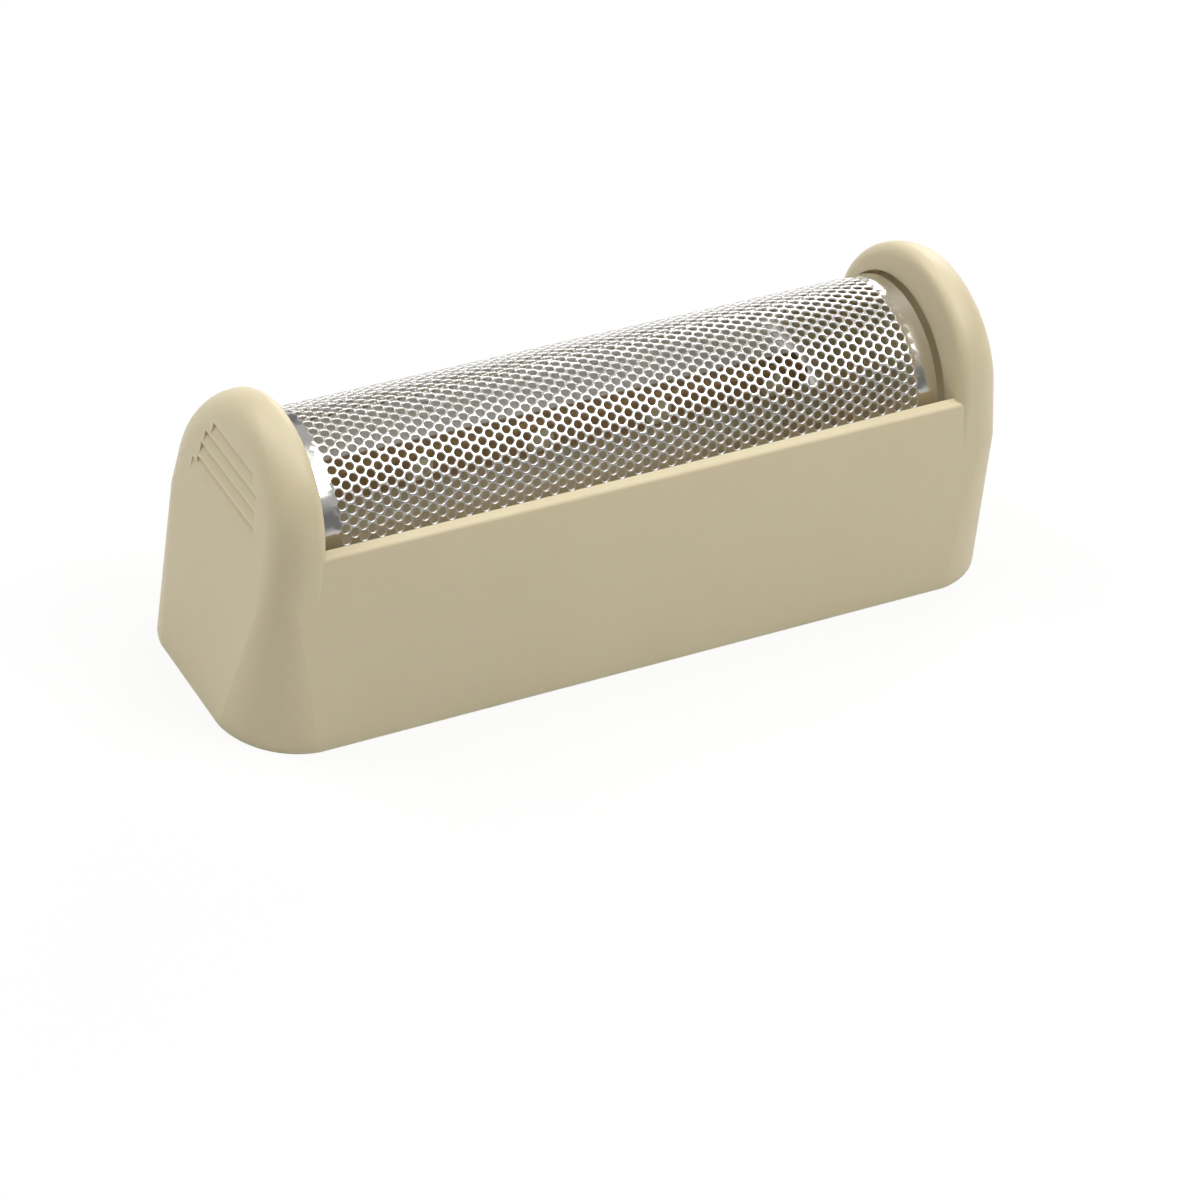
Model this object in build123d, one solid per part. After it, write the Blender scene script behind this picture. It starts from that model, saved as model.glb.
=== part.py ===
"""Foil head of an electric shaver: a moulded frame with an arched perforated foil.

Millimetres. X runs along the head, -Y is the front, +Z is up. The origin is the middle of the
bottom rim, so the head stands on the plane z = 0. Both ends are alike. The foil's axis lies a little
behind the middle of the rim, and the crown of the cheeks a little in front of it.
"""

from build123d import *
import math
import os

# Frame, outside
LENGTH = 60.0  # over the bottom rim
DEPTH = 19.6  # over the bottom rim
HEIGHT = 22.6  # to the crown of the cheeks
END_LEAN = 0.11  # how far an end face leans inwards for each mm of height
FLANK_LEAN = 0.09  # the same for the front and rear faces
CROWN_INSIDE_RIM = 2.2  # by how much the crown's radius is less than half the depth
REAR_SLOPE_START = 17.5  # degrees behind the top of the crown, where the flatter rear arc starts
REAR_SLOPE_DROP = 7.05  # from the top of the crown down to where that arc meets the rear flank
REAR_SHOULDER_RADIUS = 7.6
CHEEK_AT_CROWN = 2.9  # thickness of a cheek at the top of its crown
CHEEK_OUTER_ROUND = 2.25
CHEEK_INNER_ROUND = 0.8
FOOT_CORNER = 5.85  # plan radius of the corners at the rim
UPPER_CORNER = 1.6  # the same at the height where the corners stop tapering
CORNER_HEIGHT = 14.0
CORNER_CREASE = 0.04  # how far the tapered corners miss being tangent to the walls

# Foil
FOIL_INSIDE_RIM = 2.84  # from the outside of the rim to the foil's arch, seen from above
FOIL_SETBACK = 0.5  # of the foil's axis, behind the middle of the rim
FOIL_BELOW_CROWN = 3.02  # from the crown of the cheeks down to the top of the foil
FOIL_THICKNESS = 0.15
FOIL_FLARE = 4.0  # degrees by which the straight skirts lean outwards
FOIL_END_GAP = 0.48  # between the foil and a cheek
PLAIN_MARGIN = 1.96  # from an end of the foil to the centres of the nearest holes
FIELD_ARC = 9.2  # from the crown line to the last hole centre, along the arch
HOLE_PITCH = 3.05  # along the arch
COLUMN_PITCH = 2.45  # along the axis; the nearest even division of the field is used
HOLE_ACROSS = 2.45  # across the corners of a hole
HOLE_SIDES = 6

# Frame, walls between the cheeks
WALL_ABOVE_AXIS = 2.63  # top of the walls, above the foil's axis
WALL_SET_IN = 0.15  # how far the wall top lies inside the cheeks' flanks
WALL_FALL = 3.75  # height over which the wall falls back behind the cheeks
WALL_TOP_WIDTH = 0.87
WALL_EDGE_ROUND = 0.3

# Frame, inside
POCKET_CLEARANCE = 0.17  # between the foil's arch and the pockets in the cheeks
END_WALL = 1.5
SOCKET_DEPTH = 6.0  # height of the wider mouth that slips over the shaver
SOCKET_WALL = 1.25
SIDE_WALL_MIN = 0.8  # least wall beside the lands, where the hollow's corners are drawn
INNER_CORNER_MIN = 0.3  # least plan radius of the hollow's corners

# Studs that hold the foil, and the strips that spread their grip
STUD_COUNT = 5
STUD_DIAMETER = 1.2
STUD_FROM_EDGE = 1.8  # from the lower edge of a skirt up to the studs
HEAD_DIAMETER = 2.1
HEAD_HEIGHT = 0.35
STUD_CLEARANCE = 0.05  # round a stud, in the foil and in a strip
STRIP_END_GAP = 2.1  # from an end of the foil to the end of a strip
STUD_FROM_STRIP_END = 2.8
STRIP_WIDTH = 2.6
STRIP_THICKNESS = 0.8
STRIP_END_ROUND = 0.8
SKIRT_ABOVE_SOCKET = 0.4  # between the lower edge of a skirt and the top of the wide mouth

# Finger grip on each end face
GRIP_HALF_WIDTHS = (3.1, 3.95, 4.2, 4.35)  # from the top groove down
GRIP_BELOW_CROWN = 3.2
GRIP_PITCH = 1.15
GRIP_RAMP = 0.9  # height over which a groove runs out below its ledge
GRIP_DEPTH = 0.28
GRIP_FOOT_HALF_WIDTH = 5.0
GRIP_FOOT_BELOW_CROWN = 7.15
GRIP_FOOT_RAMP = 1.0
GRIP_FOOT_DEPTH = 0.12

# Catch inside each end wall, for the shaver's release button
CATCH_WIDTH = 6.0
CATCH_HEIGHT = 1.2
CATCH_REACH = 0.5
CATCH_Z = 2.6

# Worked out from the sizes above
HALF_LENGTH = LENGTH / 2
HALF_DEPTH = DEPTH / 2
HALF_SPAN = HALF_LENGTH - END_LEAN * HEIGHT - CHEEK_AT_CROWN  # of the gap between the cheeks
CROWN_RADIUS = HALF_DEPTH - CROWN_INSIDE_RIM
FOIL_RADIUS = HALF_DEPTH - FOIL_INSIDE_RIM
FOIL_AXIS_Z = HEIGHT - FOIL_BELOW_CROWN - FOIL_RADIUS
FOIL_LENGTH = 2 * (HALF_SPAN - FOIL_END_GAP)
FIELD_LENGTH = FOIL_LENGTH - 2 * PLAIN_MARGIN
FLARE = math.radians(FOIL_FLARE)
SKIRT_START = (
    FOIL_RADIUS * math.cos(FLARE),
    FOIL_AXIS_Z + FOIL_RADIUS * math.sin(FLARE),
)
SKIRT_LENGTH = (SKIRT_START[1] - SOCKET_DEPTH - SKIRT_ABOVE_SOCKET) / math.cos(FLARE)
STUD_ALONG_SKIRT = SKIRT_LENGTH - STUD_FROM_EDGE
STRIP_LENGTH = FOIL_LENGTH - 2 * STRIP_END_GAP
STUD_PITCH = (STRIP_LENGTH - 2 * STUD_FROM_STRIP_END) / (STUD_COUNT - 1)
POCKET_RADIUS = FOIL_RADIUS + POCKET_CLEARANCE
WALL_TOP = FOIL_AXIS_Z + WALL_ABOVE_AXIS
WALL_BREAK = WALL_TOP - WALL_FALL  # height where the wall starts to fall back
OVER = 5.0  # by how much a cutting body reaches past what it cuts
NEAR = 0.01  # within this height two things lie at the same level


def end_face_x(z, inset=0.0):
    """Half-length of the frame at a height."""
    return HALF_LENGTH - END_LEAN * z - inset


def flank_y(z, inset=0.0):
    """Half-depth of the frame at a height."""
    return HALF_DEPTH - FLANK_LEAN * z - inset


def skirt_point(along, inward=0.0):
    """(y, z) on the outer face of the rear skirt, or a distance inside it, y from the foil's axis."""
    y, z = SKIRT_START
    return (
        y + along * math.sin(FLARE) - inward * math.cos(FLARE),
        z - along * math.cos(FLARE) - inward * math.sin(FLARE),
    )


def skirt_plane(along, inward=0.0):
    """Plane on the rear skirt, with y up the skirt and its normal towards the inside."""
    y, z = skirt_point(along, inward)
    normal = (0, -math.cos(FLARE), -math.sin(FLARE))
    return Plane(origin=(0, y, z), x_dir=(-1, 0, 0), z_dir=normal)


def both_sides(shape):
    """The shape and its mirror image on the other side of the foil's axis."""
    return shape + mirror(shape, about=Plane.XZ)


def set_back(shape):
    """What is drawn round the foil's axis, moved to its place in the frame."""
    return Pos(0, FOIL_SETBACK, 0) * shape


def both_ends(shape):
    """The shape and its mirror image on the other side of x = 0."""
    return shape + mirror(shape, about=Plane.YZ)


def extrude_x(sketch, half_length):
    """A sketch drawn in Y and Z, made a solid from -half_length to half_length."""
    return extrude(Plane.YZ * sketch, half_length, both=True)


def slab(height):
    """A box across the whole head, from the rim up to a height."""
    return Box(
        LENGTH + OVER, DEPTH + OVER, height, align=(Align.CENTER, Align.CENTER, Align.MIN)
    )


def between_ends(inset=0.0):
    """Everything between the two leaning end faces."""
    top = HEIGHT + OVER
    outline = Polygon(
        (-end_face_x(-OVER, inset), -OVER),
        (end_face_x(-OVER, inset), -OVER),
        (end_face_x(top, inset), top),
        (-end_face_x(top, inset), top),
        align=None,
    )
    return extrude(Plane.XZ * outline, HALF_DEPTH + OVER, both=True)


def tapered_corners(end_inset, side_inset):
    """Rounded plan whose corner radius shrinks with height, inside the walls by the insets."""
    stations = (
        (0.0, FOOT_CORNER),
        (CORNER_HEIGHT, UPPER_CORNER),
        (HEIGHT + OVER, UPPER_CORNER),
    )
    sections = [
        Pos(0, 0, z)
        * RectangleRounded(
            2 * end_face_x(z, end_inset),
            2 * flank_y(z, side_inset),
            max(radius - end_inset, INNER_CORNER_MIN),
        )
        for z, radius in stations
    ]
    return loft(sections, ruled=True)


def cheek_outline():
    """Side view of the head: drafted flanks under a crown that slopes more gently to the rear."""
    lean = math.hypot(1, FLANK_LEAN)
    slope = math.radians(REAR_SLOPE_START)
    centre_z = HEIGHT - CROWN_RADIUS
    centre_y = CROWN_RADIUS * lean - flank_y(centre_z)
    front = (centre_y - CROWN_RADIUS / lean, centre_z + CROWN_RADIUS * FLANK_LEAN / lean)
    slope_start = (
        centre_y + CROWN_RADIUS * math.sin(slope),
        centre_z + CROWN_RADIUS * math.cos(slope),
    )
    rear = (flank_y(HEIGHT - REAR_SLOPE_DROP), HEIGHT - REAR_SLOPE_DROP)
    outline = make_face(
        Polyline(rear, (flank_y(0), 0), (-flank_y(0), 0), front)
        + ThreePointArc(front, (centre_y, HEIGHT), slope_start)
        + TangentArc(slope_start, rear, tangent=(math.cos(slope), -math.sin(slope)))
    )
    return fillet(outline.vertices().sort_by_distance(rear)[0], REAR_SHOULDER_RADIUS)


def outer_form():
    """The frame's outside, still solid and without the gap between the cheeks."""
    block = extrude_x(cheek_outline(), HALF_LENGTH + OVER) & between_ends()
    end_edges = [
        edge
        for face in (block.faces().sort_by(Axis.X)[0], block.faces().sort_by(Axis.X)[-1])
        for edge in face.edges()
        if edge.center().Z > NEAR
    ]
    block = fillet(end_edges, CHEEK_OUTER_ROUND)
    return block & tapered_corners(-CORNER_CREASE, -CORNER_CREASE)


def cheek(form):
    """The end of the form beyond the gap, with its inner rim rounded."""
    end = form & Pos(HALF_SPAN + HALF_LENGTH / 2, 0, HEIGHT / 2) * Box(
        HALF_LENGTH, 2 * DEPTH, 2 * HEIGHT
    )
    inner_face = end.faces().sort_by(Axis.X)[0]
    rim = [edge for edge in inner_face.edges() if edge.center().Z > NEAR]
    return fillet(rim, CHEEK_INNER_ROUND)


def walls(form):
    """Front and rear walls up to their top edge, falling back behind the cheeks."""
    break_y = flank_y(WALL_BREAK)
    top_y = flank_y(WALL_TOP, WALL_SET_IN)
    outline = Polygon(
        (-flank_y(0) - OVER, 0),
        (flank_y(0) + OVER, 0),
        (flank_y(0) + OVER, WALL_BREAK),
        (break_y, WALL_BREAK),
        (top_y, WALL_TOP),
        (-top_y, WALL_TOP),
        (-break_y, WALL_BREAK),
        (-flank_y(0) - OVER, WALL_BREAK),
        align=None,
    )
    top_corners = outline.vertices().filter_by_position(Axis.Y, WALL_TOP - NEAR, WALL_TOP + NEAR)
    outline = fillet(top_corners, WALL_EDGE_ROUND)
    return form & extrude_x(outline, HALF_SPAN + CHEEK_INNER_ROUND)


def hollow():
    """The open inside: an arch round the foil, the lands for its skirts, and the wide mouth."""
    land_y, land_z = skirt_point((POCKET_RADIUS - SKIRT_START[0]) / math.sin(FLARE))
    end_y, end_z = skirt_point((SKIRT_START[1] - SOCKET_DEPTH) / math.cos(FLARE))
    chamber = Polygon(
        (-POCKET_RADIUS, FOIL_AXIS_Z),
        (-land_y, land_z),
        (-end_y, end_z),
        (end_y, end_z),
        (land_y, land_z),
        (POCKET_RADIUS, FOIL_AXIS_Z),
        align=None,
    ) + Pos(0, FOIL_AXIS_Z) * Circle(POCKET_RADIUS)
    mouth = Polygon(
        (-flank_y(0, SOCKET_WALL), -OVER),
        (flank_y(0, SOCKET_WALL), -OVER),
        (flank_y(0, SOCKET_WALL), 0),
        (flank_y(SOCKET_DEPTH, SOCKET_WALL), SOCKET_DEPTH),
        (-flank_y(SOCKET_DEPTH, SOCKET_WALL), SOCKET_DEPTH),
        (-flank_y(0, SOCKET_WALL), 0),
        align=None,
    )
    section = Pos(FOIL_SETBACK, 0) * chamber + mouth
    return extrude_x(section, HALF_LENGTH) & between_ends(END_WALL)


def wall_relief():
    """The gap between the foil's arch and the upper part of the walls."""
    half_depth = flank_y(WALL_TOP, WALL_SET_IN + WALL_TOP_WIDTH)
    outline = Polygon(
        (-half_depth, WALL_TOP + OVER),
        (-half_depth, FOIL_AXIS_Z),
        (0, FOIL_AXIS_Z - half_depth),
        (half_depth, FOIL_AXIS_Z),
        (half_depth, WALL_TOP + OVER),
        align=None,
    )
    return extrude_x(outline, HALF_SPAN)


def studs():
    """Studs on the lands, with heads formed over the strips."""
    shank = FOIL_THICKNESS + STRIP_THICKNESS
    one = Pos(0, 0, -STUD_DIAMETER / 2) * Cylinder(
        STUD_DIAMETER / 2,
        shank + STUD_DIAMETER / 2,
        align=(Align.CENTER, Align.CENTER, Align.MIN),
    )
    one += Pos(0, 0, shank) * Cone(
        HEAD_DIAMETER / 2,
        STUD_DIAMETER / 2,
        HEAD_HEIGHT,
        align=(Align.CENTER, Align.CENTER, Align.MIN),
    )
    return set_back(both_sides(Part() + [place * one for place in stud_places(0)]))


def stud_places(inward):
    """Places of the rear row of studs, a distance inside the foil's outer face."""
    row = GridLocations(STUD_PITCH, 1, STUD_COUNT, 1)
    return [skirt_plane(STUD_ALONG_SKIRT, inward).location * place for place in row]


def groove(top, half_width, ramp, depth):
    """A groove across the +X end face, with a ledge at its top that runs out downwards."""
    bottom = top - ramp
    outline = Polygon(
        (end_face_x(top) - depth, top),
        (end_face_x(bottom), bottom),
        (end_face_x(bottom) + OVER, bottom),
        (end_face_x(top) + OVER, top),
        align=None,
    )
    return extrude(Plane.XZ * outline, half_width, both=True)


def finger_grip():
    """The grooves on the +X end face, and the wider shallow one under them."""
    grooves = [
        groove(HEIGHT - GRIP_BELOW_CROWN - number * GRIP_PITCH, half_width, GRIP_RAMP, GRIP_DEPTH)
        for number, half_width in enumerate(GRIP_HALF_WIDTHS)
    ]
    foot_top = HEIGHT - GRIP_FOOT_BELOW_CROWN
    foot = groove(foot_top, GRIP_FOOT_HALF_WIDTH, GRIP_FOOT_RAMP, GRIP_FOOT_DEPTH)
    return Part() + grooves + foot


def catch():
    """Ramped catch on the inside of the +X end wall."""
    wall_x = end_face_x(CATCH_Z, END_WALL)
    outline = Polygon(
        (wall_x + END_WALL / 2, CATCH_Z),
        (wall_x - CATCH_REACH, CATCH_Z + CATCH_HEIGHT / 2),
        (wall_x - CATCH_REACH, CATCH_Z + CATCH_HEIGHT),
        (wall_x + END_WALL / 2, CATCH_Z + CATCH_HEIGHT),
        align=None,
    )
    return extrude(Plane.XZ * outline, CATCH_WIDTH / 2, both=True)


def make_frame():
    """The moulded frame, in one piece."""
    form = outer_form()
    body = walls(form) + both_ends(cheek(form)) + (form & slab(WALL_BREAK))
    body -= (hollow() + wall_relief()) & tapered_corners(END_WALL, SIDE_WALL_MIN)
    body -= both_ends(finger_grip())
    return body + both_ends(catch()) + studs()


def make_foil():
    """The arched foil with its straight skirts, slotted over the studs and perforated."""
    end_y, end_z = skirt_point(SKIRT_LENGTH)
    outer = Polygon(
        (-SKIRT_START[0], SKIRT_START[1]),
        SKIRT_START,
        (end_y, end_z),
        (-end_y, end_z),
        align=None,
    ) + Pos(0, FOIL_AXIS_Z) * Circle(FOIL_RADIUS)
    start_in = skirt_point(0, FOIL_THICKNESS)
    end_in = skirt_point(SKIRT_LENGTH + OVER, FOIL_THICKNESS)
    inner = Polygon(
        (-start_in[0], start_in[1]),
        start_in,
        end_in,
        (-end_in[0], end_in[1]),
        align=None,
    ) + Pos(0, FOIL_AXIS_Z) * Circle(FOIL_RADIUS - FOIL_THICKNESS)
    sheet = extrude_x(outer - inner, FOIL_LENGTH / 2)
    slot = Cylinder(STUD_DIAMETER / 2 + STUD_CLEARANCE, 4 * FOIL_THICKNESS)
    sheet -= both_sides(Part() + [place * slot for place in stud_places(FOIL_THICKNESS / 2)])
    return set_back(sheet - hole_cutters())


def hole_cutters():
    """Prisms through the arch in close-packed columns, every second column half a pitch off."""
    columns = 2 * round(FIELD_LENGTH / COLUMN_PITCH / 2)
    spacing = FIELD_LENGTH / columns
    prism = extrude(
        RegularPolygon(HOLE_ACROSS / 2, HOLE_SIDES), 2 * FOIL_THICKNESS, both=True
    )
    cutters = []
    for column in range(columns + 1):
        x = -FIELD_LENGTH / 2 + column * spacing
        offset = 0.5 * (column % 2)
        reach = math.floor(FIELD_ARC / HOLE_PITCH - offset)
        for row in range(-reach - (column % 2), reach + 1):
            arc = (row + offset) * HOLE_PITCH
            turn = Rot(-math.degrees(arc / FOIL_RADIUS), 0, 0)
            cutters.append(Pos(x, 0, FOIL_AXIS_Z) * turn * Pos(0, 0, FOIL_RADIUS) * prism)
    return cutters


def make_strip():
    """The rear strip that presses the foil's skirt on its land."""
    outline = RectangleRounded(STRIP_LENGTH, STRIP_WIDTH, STRIP_END_ROUND)
    outline -= GridLocations(STUD_PITCH, 1, STUD_COUNT, 1) * Circle(
        STUD_DIAMETER / 2 + STUD_CLEARANCE
    )
    return extrude(skirt_plane(STUD_ALONG_SKIRT, FOIL_THICKNESS) * outline, STRIP_THICKNESS)


os.makedirs("parts", exist_ok=True)
rear_strip = make_strip()
front_strip = mirror(rear_strip, about=Plane.XZ)
export_step(make_frame(), "parts/frame.step")
export_step(make_foil(), "parts/foil.step")
export_step(set_back(rear_strip), "parts/foil_strip_rear.step")
export_step(set_back(front_strip), "parts/foil_strip_front.step")
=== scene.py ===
"""Looks of a shaver foil head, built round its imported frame.

Metres. X runs along the head, -Y is the front, +Z is up, and the rim stands on z = 0.
"""

import math

import bpy
from mathutils import Matrix, Vector


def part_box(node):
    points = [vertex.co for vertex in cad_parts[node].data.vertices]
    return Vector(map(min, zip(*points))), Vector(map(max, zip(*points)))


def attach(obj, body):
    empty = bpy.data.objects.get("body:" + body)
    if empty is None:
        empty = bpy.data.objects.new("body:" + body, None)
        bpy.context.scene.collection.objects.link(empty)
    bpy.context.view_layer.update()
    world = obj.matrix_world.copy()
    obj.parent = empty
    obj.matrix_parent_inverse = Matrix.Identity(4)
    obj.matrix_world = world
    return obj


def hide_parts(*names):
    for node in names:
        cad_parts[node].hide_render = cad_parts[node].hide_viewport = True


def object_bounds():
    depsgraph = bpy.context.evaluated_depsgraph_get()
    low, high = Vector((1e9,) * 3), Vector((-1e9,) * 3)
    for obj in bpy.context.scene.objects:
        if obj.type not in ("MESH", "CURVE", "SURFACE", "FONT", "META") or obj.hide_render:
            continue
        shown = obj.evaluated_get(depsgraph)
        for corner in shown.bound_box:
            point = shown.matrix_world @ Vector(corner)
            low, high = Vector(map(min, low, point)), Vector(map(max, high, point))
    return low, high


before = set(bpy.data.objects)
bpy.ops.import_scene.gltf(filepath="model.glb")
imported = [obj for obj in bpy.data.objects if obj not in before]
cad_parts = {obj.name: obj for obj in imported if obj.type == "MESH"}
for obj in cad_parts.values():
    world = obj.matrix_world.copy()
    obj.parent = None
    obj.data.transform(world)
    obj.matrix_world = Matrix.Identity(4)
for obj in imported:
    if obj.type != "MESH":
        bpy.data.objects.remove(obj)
cad_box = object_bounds()

MM = 0.001

# Camera, as the photograph was taken
VIEW_AZIMUTH = math.radians(-33.1)
VIEW_ELEVATION = math.radians(37.62)
VIEW_ROLL = math.radians(7.37)
VIEW_DISTANCE = 331.6 * MM
VIEW_RIGHT = 1.77 * MM  # the view's centre, from the middle of the rim
VIEW_UP = -0.96 * MM
LENS = 140.3  # millimetres, on the sensor width below
SENSOR_WIDTH = 36.0

# Foil
COLUMNS = 69
PLAIN_MARGIN = 1.96 * MM  # from an end of the foil to the centres of the nearest holes
FIELD_ARC = 9.2 * MM  # from the crown line to the last hole centres
ROW_PITCH = 0.811 * MM
HOLE_DIAMETER = 0.6 * MM
HOLE_RIM = 0.055 * MM  # width of the rounded rim that electroforming leaves
RIM_LIFT = 0.015 * MM  # how far that rim stands above the sheet
RIM_FALL = 0.8  # how far it then drops to the hole, as a share of its width
SHEET_THICKNESS = 0.12 * MM
ARCH_RADIUS = 6.96 * MM
ARCH_REACH = math.radians(86)  # from the crown to where the skirts start
SKIRT_LENGTH = 6.72 * MM
PLAIN_COLUMNS = 2  # columns of whole cells past the holes at each end
HOLE_POINTS = 12
CRISP_FOLD = math.radians(60)  # edges that fold more than this stay sharp
SAME_PLACE = 0.004 * MM  # points nearer than this are one
LATTICE_SLACK = 0.1  # share of a column's spacing by which a centre may miss its limit

# Sizes of the patterns in the finishes
CREAM_CLOUD = 11.11 * MM  # slow drift of the cream's colour
TAN_CLOUD = 2.5 * MM
MOULD_GRAIN = 0.16667 * MM  # grain of the mould's wall, coarser than the real one so that it shows
GRAIN_HEIGHT = 0.02 * MM
HAZE_LENGTH = 5 * MM  # streaks of haze along the foil
HAZE_WIDTH = 0.2222 * MM
SHEET_WAVE = 9.091 * MM  # the sheet's faint unevenness
WAVE_HEIGHT = 0.25 * MM

# Soft boxes, aimed at the head: azimuth (0 is the front, 90 the right end), elevation, distance,
# width and watts
LAMPS = {
    "key": (50, 56, 0.4, 0.2, 0.74),
    "top": (0, 90, 0.8, 0.6, 3.0),
    "rear_left": (225, 50, 0.8, 0.4, 2.7),
    "rear_right": (135, 20, 0.8, 0.4, 2.2),
}
LAMP_AIM = Vector((0, 0, 10 * MM))

# Floor and room
FLOOR_REACH = 3.0
RIM_WIDTH = 2 * MM  # of the head's outline, taken off to find the paper that it covers
ROOM_FILL = 0.05  # strength of the room's light on the head
# What polished metal sees of the room: the height of a direction, and its brightness there
ROOM_BANDS = ((0.0, 0.8), (0.08, 0.6), (0.18, 0.2), (0.42, 0.2), (0.6, 0.5), (1.0, 0.5))
PAPER_GLOW = 0.85  # share of the floor's look that is plain white


def add_node(tree, kind, inputs=(), **settings):
    """A new node with its settings, and its inputs given as values or as sockets to link."""
    node = tree.nodes.new(kind)
    for name, value in settings.items():
        setattr(node, name, value)
    for key, value in dict(inputs).items():
        if isinstance(value, bpy.types.NodeSocket):
            tree.links.new(value, node.inputs[key])
        else:
            node.inputs[key].default_value = value
    return node


def linear(hex_colour, alpha=1.0):
    """Linear RGBA of an sRGB colour such as "e8dec6"."""
    channels = [int(hex_colour[i : i + 2], 16) / 255 for i in (0, 2, 4)]
    return [c / 12.92 if c <= 0.04045 else ((c + 0.055) / 1.055) ** 2.4 for c in channels] + [alpha]


def new_material(name):
    """An empty material, its tree and its Principled shader."""
    material = bpy.data.materials.new(name)
    material.use_nodes = True
    tree = material.node_tree
    tree.nodes.clear()
    shader = add_node(tree, "ShaderNodeBsdfPrincipled")
    output = add_node(tree, "ShaderNodeOutputMaterial", {"Surface": shader.outputs["BSDF"]})
    output.target = "ALL"
    return material, tree, shader


def cream_abs():
    """Injection-moulded ABS, cream: satin gloss, a little light let through its thin walls."""
    material, tree, shader = new_material("abs_cream_moulded")
    place = add_node(tree, "ShaderNodeTexCoord")
    cloud = add_node(
        tree,
        "ShaderNodeTexNoise",
        {"Vector": place.outputs["Object"], "Scale": 1 / CREAM_CLOUD, "Detail": 2.0},
    )
    colour = add_node(tree, "ShaderNodeMix", {"Factor": cloud.outputs["Fac"]}, data_type="RGBA")
    colour.inputs["A"].default_value = linear("d9cdac")
    colour.inputs["B"].default_value = linear("d4c7a4")
    tree.links.new(colour.outputs["Result"], shader.inputs["Base Color"])
    grain = add_node(
        tree,
        "ShaderNodeTexNoise",
        {"Vector": place.outputs["Object"], "Scale": 1 / MOULD_GRAIN, "Detail": 3.0},
    )
    bump = add_node(
        tree,
        "ShaderNodeBump",
        {"Height": grain.outputs["Fac"], "Strength": 0.06, "Distance": GRAIN_HEIGHT},
    )
    tree.links.new(bump.outputs["Normal"], shader.inputs["Normal"])
    shader.inputs["Roughness"].default_value = 0.46
    shader.inputs["IOR"].default_value = 1.54
    shader.inputs["Subsurface Weight"].default_value = 0.25
    shader.inputs["Subsurface Radius"].default_value = (1.0, 0.55, 0.25)
    shader.inputs["Subsurface Scale"].default_value = 1.2 * MM
    return material


def bright_nickel():
    """Electroformed nickel foil: a bright, faintly uneven sheet with duller rims round its holes."""
    material, tree, shader = new_material("nickel_electroformed")
    place = add_node(tree, "ShaderNodeTexCoord")
    stretch = add_node(
        tree,
        "ShaderNodeMapping",
        {
            "Vector": place.outputs["Object"],
            "Scale": (1 / HAZE_LENGTH, 1 / HAZE_WIDTH, 1 / HAZE_WIDTH),
        },
    )
    haze = add_node(
        tree,
        "ShaderNodeTexNoise",
        {"Vector": stretch.outputs["Vector"], "Scale": 1.0, "Detail": 2.0},
    )
    sheet_rough = add_node(
        tree,
        "ShaderNodeMapRange",
        {"Value": haze.outputs["Fac"], "To Min": 0.08, "To Max": 0.16},
    )
    rim = add_node(tree, "ShaderNodeAttribute", attribute_name="hole_rim")
    rough = add_node(
        tree,
        "ShaderNodeMix",
        {"Factor": rim.outputs["Fac"], "A": sheet_rough.outputs["Result"], "B": 0.42},
    )
    tree.links.new(rough.outputs["Result"], shader.inputs["Roughness"])
    wave = add_node(
        tree, "ShaderNodeTexNoise", {"Vector": place.outputs["Object"], "Scale": 1 / SHEET_WAVE}
    )
    bump = add_node(
        tree,
        "ShaderNodeBump",
        {"Height": wave.outputs["Fac"], "Strength": 1.0, "Distance": WAVE_HEIGHT},
    )
    tree.links.new(bump.outputs["Normal"], shader.inputs["Normal"])
    shader.inputs["Base Color"].default_value = linear("dcdad6")
    shader.inputs["Metallic"].default_value = 1.0
    return material


def painted_shade_tan():
    """Injection-moulded ABS in a tan that is painted shade, standing in for the shaded brown seen through
    the foil's holes: dull, because nothing rubs or polishes it inside.
    """
    material, tree, shader = new_material("abs_tan_painted_shade")
    place = add_node(tree, "ShaderNodeTexCoord")
    cloud = add_node(
        tree,
        "ShaderNodeTexNoise",
        {"Vector": place.outputs["Object"], "Scale": 1 / TAN_CLOUD, "Detail": 3.0},
    )
    colour = add_node(tree, "ShaderNodeMix", {"Factor": cloud.outputs["Fac"]}, data_type="RGBA")
    colour.inputs["A"].default_value = linear("a5875a")
    colour.inputs["B"].default_value = linear("987b50")
    tree.links.new(colour.outputs["Result"], shader.inputs["Base Color"])
    shader.inputs["Roughness"].default_value = 0.55
    return material


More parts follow.
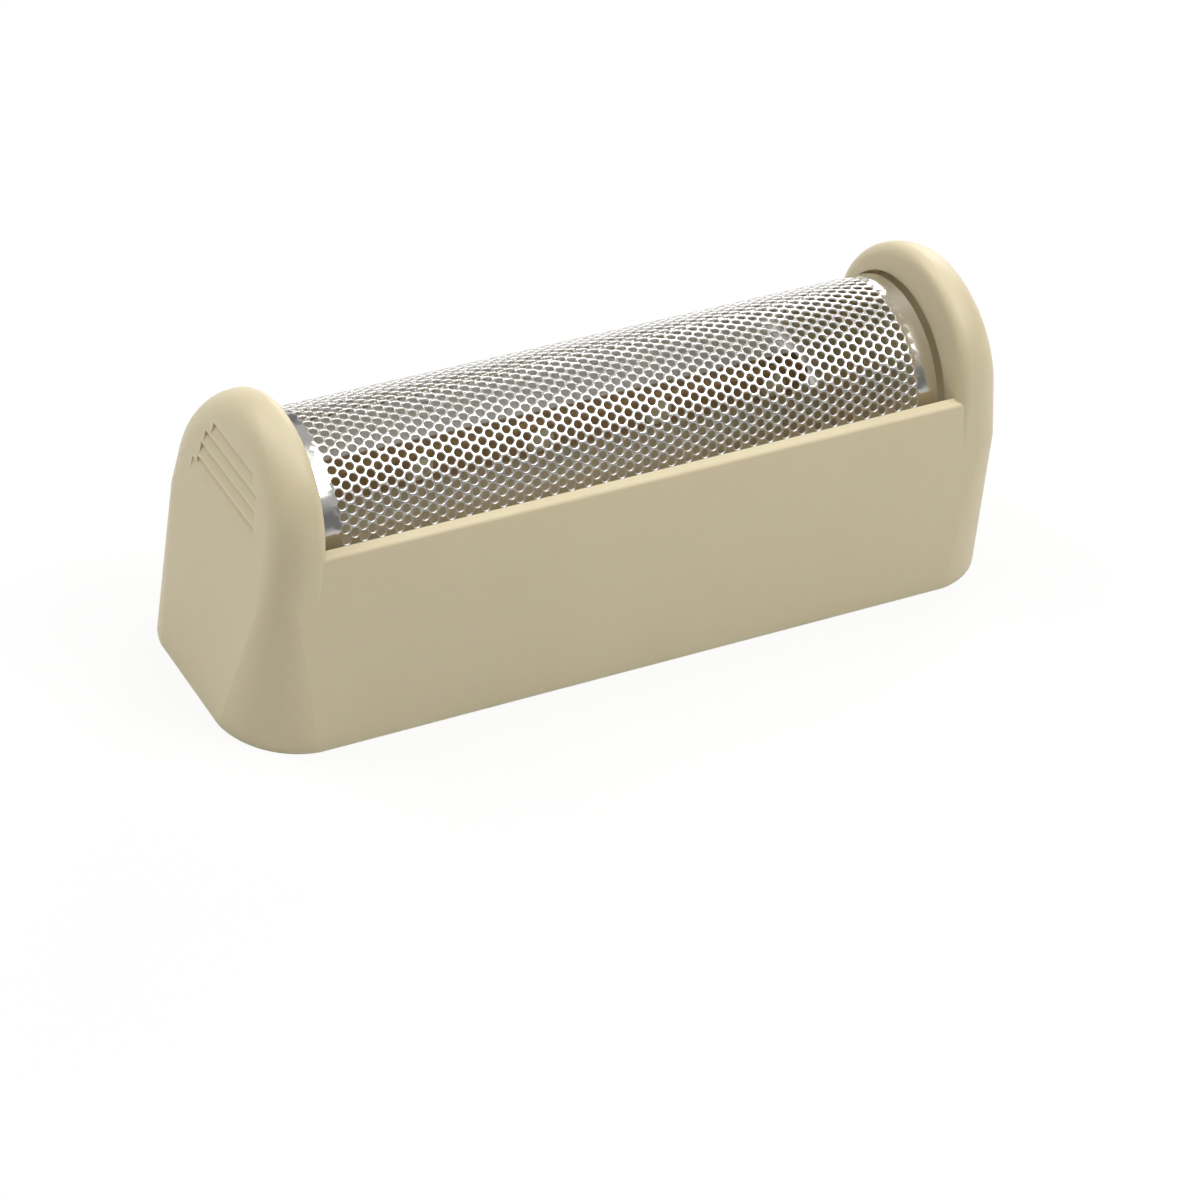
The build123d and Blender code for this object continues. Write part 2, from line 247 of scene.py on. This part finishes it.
def foil_tree():
    """Geometry nodes for the perforated sheet: cells laid out flat, then bent to the arch."""
    tree = bpy.data.node_groups.new("perforated_foil", "GeometryNodeTree")
    face = tree.interface
    face.new_socket("Geometry", in_out="OUTPUT", socket_type="NodeSocketGeometry")
    for name in (
        "Column Spacing",
        "Row Pitch",
        "Field Half Length",
        "Field Arc",
        "Hole Radius",
        "Hole Rim",
        "Rim Lift",
        "Thickness",
        "Sheet Half Length",
        "Arch Radius",
        "Arch Reach",
        "Arch Height",
        "Arch Setback",
        "Skirt Length",
    ):
        face.new_socket(name, in_out="INPUT", socket_type="NodeSocketFloat")
    for name in ("Plain Columns", "Hole Points"):
        face.new_socket(name, in_out="INPUT", socket_type="NodeSocketInt")
    face.new_socket("Material", in_out="INPUT", socket_type="NodeSocketMaterial")
    given = add_node(tree, "NodeGroupInput").outputs

    def maths(operation, *values):
        node = add_node(tree, "ShaderNodeMath", dict(enumerate(values)), operation=operation)
        return node.outputs[0]

    def xyz(vector):
        return add_node(tree, "ShaderNodeSeparateXYZ", {"Vector": vector}).outputs

    def vector(x, y, z):
        return add_node(tree, "ShaderNodeCombineXYZ", {"X": x, "Y": y, "Z": z}).outputs[0]

    def pick(number, *values):
        """The value whose place in the list is the whole number given."""
        node = add_node(tree, "GeometryNodeIndexSwitch", data_type="FLOAT")
        while len(node.index_switch_items) < len(values):
            node.index_switch_items.new()
        tree.links.new(number, node.inputs["Index"])
        for i, value in enumerate(values):
            if isinstance(value, bpy.types.NodeSocket):
                tree.links.new(value, node.inputs[i + 1])
            else:
                node.inputs[i + 1].default_value = value
        return node.outputs[0]

    def moved(geometry, position, selection=True):
        inputs = {"Geometry": geometry, "Selection": selection, "Position": position}
        return add_node(tree, "GeometryNodeSetPosition", inputs).outputs[0]

    # A cell's outline is a hexagon that tiles the close-packed lattice
    apothem = maths("MULTIPLY", given["Row Pitch"], 0.5)
    squeeze = maths(
        "DIVIDE", given["Column Spacing"], maths("MULTIPLY", given["Row Pitch"], math.sqrt(3) / 2)
    )

    def hexagon_radius(turn):
        within = maths("SUBTRACT", maths("MODULO", turn, math.pi / 3), math.pi / 6)
        return maths("DIVIDE", apothem, maths("COSINE", within))

    # Cell with a hole, in five rings: the outline on top, the rim's crest, the hole's edge above
    # and below, and the outline below
    rings = add_node(
        tree,
        "GeometryNodeMeshGrid",
        {
            "Size X": 1.0,
            "Size Y": 1.0,
            "Vertices X": 5,
            "Vertices Y": maths("ADD", given["Hole Points"], 1),
        },
    ).outputs["Mesh"]
    grid_place = xyz(add_node(tree, "GeometryNodeInputPosition").outputs[0])
    ring = maths("ROUND", maths("MULTIPLY", maths("ADD", grid_place["X"], 0.5), 4))
    turn = maths("MULTIPLY", maths("ADD", grid_place["Y"], 0.5), 2 * math.pi)
    outline = hexagon_radius(turn)
    rim_radius = maths("ADD", given["Hole Radius"], given["Hole Rim"])
    radius = pick(
        ring, outline, rim_radius, given["Hole Radius"], given["Hole Radius"], outline
    )
    below = maths("MULTIPLY", given["Thickness"], -1)
    rounded = maths("MULTIPLY", given["Hole Rim"], -RIM_FALL)
    height = pick(ring, 0.0, given["Rim Lift"], rounded, below, below)
    narrow = pick(ring, squeeze, 1.0, 1.0, 1.0, squeeze)
    rings = add_node(
        tree,
        "GeometryNodeStoreNamedAttribute",
        {"Geometry": rings, "Name": "hole_rim", "Value": pick(ring, 0.0, 1.0, 1.0, 1.0, 0.0)},
        data_type="FLOAT",
        domain="POINT",
    ).outputs[0]
    hole_cell = moved(
        rings,
        vector(
            maths("MULTIPLY", maths("MULTIPLY", radius, narrow), maths("COSINE", turn)),
            maths("MULTIPLY", radius, maths("MULTIPLY", maths("SINE", turn), -1)),
            height,
        ),
    )

    # Plain cell: the outline filled, on top and below
    disc = add_node(
        tree,
        "GeometryNodeMeshCircle",
        {"Vertices": given["Hole Points"], "Radius": 1.0},
        fill_type="NGON",
    ).outputs["Mesh"]
    corner = add_node(tree, "GeometryNodeInputIndex").outputs[0]
    corner_turn = maths(
        "DIVIDE", maths("MULTIPLY", corner, 2 * math.pi), given["Hole Points"]
    )
    corner_radius = hexagon_radius(corner_turn)
    plain_top = moved(
        disc,
        vector(
            maths("MULTIPLY", maths("MULTIPLY", corner_radius, squeeze), maths("COSINE", corner_turn)),
            maths("MULTIPLY", corner_radius, maths("SINE", corner_turn)),
            0.0,
        ),
    )
    plain_below = add_node(
        tree,
        "GeometryNodeSetPosition",
        {
            "Geometry": add_node(tree, "GeometryNodeFlipFaces", {"Mesh": plain_top}).outputs[0],
            "Offset": vector(0.0, 0.0, below),
        },
    ).outputs[0]
    plain_cell = add_node(tree, "GeometryNodeJoinGeometry")
    for part in (plain_top, plain_below):
        tree.links.new(part, plain_cell.inputs[0])

    # Lattice of cell centres, every second column half a pitch off
    last_row = maths("CEIL", maths("DIVIDE", given["Field Arc"], given["Row Pitch"]))
    last_arc = maths("MULTIPLY", last_row, given["Row Pitch"])
    plain_reach = maths("MULTIPLY", given["Plain Columns"], given["Column Spacing"])
    last_column = maths("ADD", given["Field Half Length"], plain_reach)
    lattice = add_node(
        tree,
        "GeometryNodeMeshGrid",
        {
            "Size X": maths("MULTIPLY", last_column, 2),
            "Size Y": maths("MULTIPLY", last_arc, 2),
            "Vertices X": maths(
                "ADD",
                maths("ROUND", maths("DIVIDE", maths("MULTIPLY", last_column, 2), given["Column Spacing"])),
                1,
            ),
            "Vertices Y": maths("ADD", maths("MULTIPLY", last_row, 2), 1),
        },
    ).outputs["Mesh"]
    centre = xyz(add_node(tree, "GeometryNodeInputPosition").outputs[0])
    column = maths(
        "ROUND",
        maths("DIVIDE", maths("ADD", centre["X"], given["Field Half Length"]), given["Column Spacing"]),
    )
    odd = maths("FLOORED_MODULO", column, 2)
    shift = maths("MULTIPLY", maths("MULTIPLY", odd, given["Row Pitch"]), 0.5)
    centres = add_node(
        tree,
        "GeometryNodeSetPosition",
        {"Geometry": lattice, "Offset": vector(0.0, shift, 0.0)},
    ).outputs[0]
    centre = xyz(add_node(tree, "GeometryNodeInputPosition").outputs[0])
    slack = maths("MULTIPLY", given["Column Spacing"], LATTICE_SLACK)
    away_x = maths("ABSOLUTE", centre["X"])
    away_y = maths("ABSOLUTE", centre["Y"])
    kept = maths("LESS_THAN", away_y, maths("ADD", last_arc, slack))
    in_field = maths(
        "MULTIPLY",
        maths("LESS_THAN", away_x, maths("ADD", given["Field Half Length"], slack)),
        maths("LESS_THAN", away_y, maths("ADD", given["Field Arc"], slack)),
    )
    laid_out = add_node(tree, "GeometryNodeJoinGeometry")
    for cell, selection in (
        (hole_cell, in_field),
        (plain_cell.outputs[0], maths("MULTIPLY", kept, maths("SUBTRACT", 1.0, in_field))),
    ):
        copies = add_node(
            tree,
            "GeometryNodeInstanceOnPoints",
            {"Points": centres, "Selection": selection, "Instance": cell},
        ).outputs[0]
        tree.links.new(copies, laid_out.inputs[0])
    sheet = add_node(
        tree, "GeometryNodeRealizeInstances", {"Geometry": laid_out.outputs[0]}
    ).outputs[0]

    # The outermost cells reach to the sheet's ends and down the skirts
    place = xyz(add_node(tree, "GeometryNodeInputPosition").outputs[0])
    arch_arc = maths("MULTIPLY", given["Arch Radius"], given["Arch Reach"])
    sheet_arc = maths("ADD", arch_arc, given["Skirt Length"])
    past_x = maths("GREATER_THAN", maths("ABSOLUTE", place["X"]), maths("ADD", last_column, slack))
    past_y = maths(
        "GREATER_THAN",
        maths("ABSOLUTE", place["Y"]),
        maths("SUBTRACT", last_arc, maths("MULTIPLY", given["Row Pitch"], 0.25)),
    )

    def reached(coordinate, past, limit):
        end = maths("MULTIPLY", maths("SIGN", coordinate), limit)
        gap = maths("SUBTRACT", end, coordinate)
        return maths("ADD", coordinate, maths("MULTIPLY", past, gap))

    sheet = moved(
        sheet,
        vector(
            reached(place["X"], past_x, given["Sheet Half Length"]),
            reached(place["Y"], past_y, sheet_arc),
            place["Z"],
        ),
    )
    sheet = add_node(
        tree, "GeometryNodeMergeByDistance", {"Geometry": sheet, "Distance": SAME_PLACE}
    ).outputs[0]

    # Close the cut edge between the two faces of the sheet
    on_top = maths("GREATER_THAN", place["Z"], maths("MULTIPLY", below, 0.5))
    faces_beside = add_node(tree, "GeometryNodeInputMeshEdgeNeighbors").outputs[0]
    open_edge = maths("COMPARE", faces_beside, 1, 0.1)
    rim = add_node(
        tree,
        "GeometryNodeExtrudeMesh",
        {
            "Mesh": sheet,
            "Selection": maths("MULTIPLY", open_edge, on_top),
            "Offset": vector(0.0, 0.0, -1.0),
            "Offset Scale": given["Thickness"],
        },
        mode="EDGES",
    ).outputs["Mesh"]
    sheet = add_node(
        tree, "GeometryNodeMergeByDistance", {"Geometry": rim, "Distance": SAME_PLACE}
    ).outputs[0]

    # Bend: the middle follows the arch and the rest runs on straight
    angle = maths("DIVIDE", place["Y"], given["Arch Radius"])
    angle = add_node(
        tree,
        "ShaderNodeClamp",
        {"Value": angle, "Min": maths("MULTIPLY", given["Arch Reach"], -1), "Max": given["Arch Reach"]},
    ).outputs[0]
    straight = maths("SUBTRACT", place["Y"], maths("MULTIPLY", angle, given["Arch Radius"]))
    out = maths("ADD", given["Arch Radius"], place["Z"])
    sine = maths("SINE", angle)
    cosine = maths("COSINE", angle)
    bent = moved(
        sheet,
        vector(
            place["X"],
            maths(
                "ADD",
                given["Arch Setback"],
                maths("ADD", maths("MULTIPLY", out, sine), maths("MULTIPLY", straight, cosine)),
            ),
            maths(
                "ADD",
                given["Arch Height"],
                maths("SUBTRACT", maths("MULTIPLY", out, cosine), maths("MULTIPLY", straight, sine)),
            ),
        ),
    )

    # Smooth along the arch and round the holes, with crisp hole rims
    smooth = add_node(
        tree, "GeometryNodeSetShadeSmooth", {"Geometry": bent, "Shade Smooth": True}, domain="FACE"
    ).outputs[0]
    fold = add_node(tree, "GeometryNodeInputMeshEdgeAngle").outputs["Unsigned Angle"]
    crisp = add_node(
        tree,
        "GeometryNodeSetShadeSmooth",
        {
            "Geometry": smooth,
            "Selection": maths("GREATER_THAN", fold, CRISP_FOLD),
            "Shade Smooth": False,
        },
        domain="EDGE",
    ).outputs[0]
    finished = add_node(
        tree, "GeometryNodeSetMaterial", {"Geometry": crisp, "Material": given["Material"]}
    ).outputs[0]
    add_node(tree, "NodeGroupOutput", {"Geometry": finished})
    return tree


def grown(name, tree, values):
    """An object whose mesh is what a geometry node tree makes from the named values."""
    piece = bpy.data.objects.new(name, bpy.data.meshes.new(name))
    bpy.context.scene.collection.objects.link(piece)
    modifier = piece.modifiers.new("grown", "NODES")
    modifier.node_group = tree
    for socket in tree.interface.items_tree:
        if socket.in_out == "INPUT":
            modifier[socket.identifier] = values[socket.name]
    depsgraph = bpy.context.evaluated_depsgraph_get()
    mesh = bpy.data.meshes.new_from_object(piece.evaluated_get(depsgraph))
    piece.modifiers.clear()
    piece.data = mesh
    mesh.name = name
    return piece


def make_foil(material):
    """The perforated foil, at its real hole pattern, in place of the coarser CAD one."""
    low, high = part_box("foil")
    field_length = high.x - low.x - 2 * PLAIN_MARGIN
    return grown(
        "perforated_foil",
        foil_tree(),
        {
            "Column Spacing": field_length / (COLUMNS - 1),
            "Row Pitch": ROW_PITCH,
            "Field Half Length": field_length / 2,
            "Field Arc": FIELD_ARC,
            "Hole Radius": HOLE_DIAMETER / 2,
            "Hole Rim": HOLE_RIM,
            "Rim Lift": RIM_LIFT,
            "Thickness": SHEET_THICKNESS,
            "Sheet Half Length": (high.x - low.x) / 2,
            "Arch Radius": ARCH_RADIUS,
            "Arch Reach": ARCH_REACH,
            "Arch Height": high.z - ARCH_RADIUS,
            "Arch Setback": (low.y + high.y) / 2,
            "Skirt Length": SKIRT_LENGTH,
            "Plain Columns": PLAIN_COLUMNS,
            "Hole Points": HOLE_POINTS,
            "Material": material,
        },
    )


def make_camera():
    """The photograph's viewpoint, with its small roll."""
    camera = bpy.data.objects.new("camera", bpy.data.cameras.new("camera"))
    bpy.context.scene.collection.objects.link(camera)
    back = Vector(
        (
            math.sin(VIEW_AZIMUTH) * math.cos(VIEW_ELEVATION),
            -math.cos(VIEW_AZIMUTH) * math.cos(VIEW_ELEVATION),
            math.sin(VIEW_ELEVATION),
        )
    )
    level = Vector((math.cos(VIEW_AZIMUTH), math.sin(VIEW_AZIMUTH), 0))
    upright = back.cross(level)
    right = math.cos(VIEW_ROLL) * level + math.sin(VIEW_ROLL) * upright
    up = back.cross(right)
    turn = Matrix((right, up, back)).transposed().to_4x4()
    place = VIEW_RIGHT * right + VIEW_UP * up + VIEW_DISTANCE * back
    camera.matrix_world = Matrix.Translation(place) @ turn
    camera.data.lens = LENS
    camera.data.sensor_width = SENSOR_WIDTH
    camera.data.clip_start = 0.01
    camera.data.clip_end = 20
    bpy.context.scene.camera = camera
    return camera


def rays_seen(tree):
    """1 where a camera, a mirror or a clear piece looks straight at a surface, else 0."""
    ray = add_node(tree, "ShaderNodeLightPath")
    seen = ray.outputs["Is Camera Ray"]
    for kind in ("Is Glossy Ray", "Is Transmission Ray"):
        seen = add_node(
            tree, "ShaderNodeMath", {0: seen, 1: ray.outputs[kind]}, operation="MAXIMUM"
        ).outputs[0]
    return seen


def make_floor():
    """A pale sheet that the head stands on, white but for the head's soft shadow."""
    mesh = bpy.data.meshes.new("floor")
    corners = [(x * FLOOR_REACH, y * FLOOR_REACH, 0) for x, y in ((-1, -1), (1, -1), (1, 1), (-1, 1))]
    mesh.from_pydata(corners, [], [(0, 1, 2, 3)])
    floor = bpy.data.objects.new("floor", mesh)
    bpy.context.scene.collection.objects.link(floor)
    material, tree, shader = new_material("paper_white")
    shader.inputs["Base Color"].default_value = linear("f4f4f2")
    shader.inputs["Roughness"].default_value = 0.9
    glow = add_node(tree, "ShaderNodeEmission", {"Color": (1, 1, 1, 1), "Strength": 1.0})

    # The paper under the head lies in its shade, so it doesn't glow there
    place = add_node(tree, "ShaderNodeTexCoord").outputs["Object"]
    part = add_node(tree, "ShaderNodeSeparateXYZ", {"Vector": place}).outputs
    outline = (cad_box[1] - cad_box[0]) / 2
    beside = None
    for axis, reach in (("X", outline.x), ("Y", outline.y)):
        away = add_node(tree, "ShaderNodeMath", {0: part[axis]}, operation="ABSOLUTE").outputs[0]
        past = add_node(
            tree, "ShaderNodeMath", {0: away, 1: reach - RIM_WIDTH}, operation="GREATER_THAN"
        ).outputs[0]
        if beside is None:
            beside = past
        else:
            beside = add_node(
                tree, "ShaderNodeMath", {0: beside, 1: past}, operation="MAXIMUM"
            ).outputs[0]
    seen = add_node(
        tree, "ShaderNodeMath", {0: rays_seen(tree), 1: beside}, operation="MULTIPLY"
    ).outputs[0]
    share = add_node(
        tree, "ShaderNodeMath", {0: seen, 1: PAPER_GLOW}, operation="MULTIPLY"
    ).outputs[0]
    mix = add_node(
        tree, "ShaderNodeMixShader", {0: share, 1: shader.outputs[0], 2: glow.outputs[0]}
    )
    output = next(n for n in tree.nodes if n.type == "OUTPUT_MATERIAL")
    tree.links.new(mix.outputs[0], output.inputs["Surface"])
    mesh.materials.append(material)
    return floor


def add_lamp(name, azimuth, elevation, distance, width, power):
    """A square soft box that faces the head."""
    lamp = bpy.data.lights.new(name, "AREA")
    lamp.shape = "SQUARE"
    lamp.size = width
    lamp.energy = power
    holder = bpy.data.objects.new(name, lamp)
    bpy.context.scene.collection.objects.link(holder)
    turn, rise = math.radians(azimuth), math.radians(elevation)
    outward = Vector(
        (math.sin(turn) * math.cos(rise), -math.cos(turn) * math.cos(rise), math.sin(rise))
    )
    holder.location = LAMP_AIM + distance * outward
    holder.rotation_mode = "QUATERNION"
    holder.rotation_quaternion = (-outward).to_track_quat("-Z", "Y")
    return holder


def make_room():
    """The room: white to the camera, dim on the head, and in soft bands to polished metal."""
    world = bpy.data.worlds.new("studio")
    world.use_nodes = True
    tree = world.node_tree
    direction = add_node(tree, "ShaderNodeTexCoord").outputs["Generated"]
    rise = add_node(tree, "ShaderNodeSeparateXYZ", {"Vector": direction}).outputs["Z"]
    bands = add_node(tree, "ShaderNodeValToRGB", {"Fac": rise})
    stops = bands.color_ramp.elements
    while len(stops) < len(ROOM_BANDS):
        stops.new(1.0)
    for stop, (height, strength) in zip(stops, ROOM_BANDS):
        stop.position = height
        stop.color = (strength, strength, strength, 1)
    ray = add_node(tree, "ShaderNodeLightPath")
    strength = add_node(
        tree,
        "ShaderNodeMix",
        {"Factor": ray.outputs["Is Glossy Ray"], "A": ROOM_FILL, "B": bands.outputs["Color"]},
    ).outputs["Result"]
    clear = add_node(
        tree,
        "ShaderNodeMath",
        {0: ray.outputs["Is Camera Ray"], 1: ray.outputs["Is Transmission Ray"]},
        operation="MAXIMUM",
    ).outputs[0]
    strength = add_node(
        tree, "ShaderNodeMix", {"Factor": clear, "A": strength, "B": 1.0}
    ).outputs["Result"]
    background = tree.nodes["Background"]
    background.inputs["Color"].default_value = (1, 1, 1, 1)
    tree.links.new(strength, background.inputs["Strength"])
    bpy.context.scene.world = world


make_camera()
make_floor()
make_room()
for name, values in LAMPS.items():
    add_lamp(name, *values)

# The strips' tan is painted shade: it stands in for the brown shade seen through the foil's holes
strip_painted_shade = painted_shade_tan()
for node, material in (
    ("frame", cream_abs()),
    ("foil_strip_front", strip_painted_shade),
    ("foil_strip_rear", strip_painted_shade),
):
    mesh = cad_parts[node].data
    mesh.materials.clear()
    mesh.materials.append(material)

foil = make_foil(bright_nickel())
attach(foil, "root")
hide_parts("foil")

bpy.context.scene.view_settings.view_transform = "Standard"
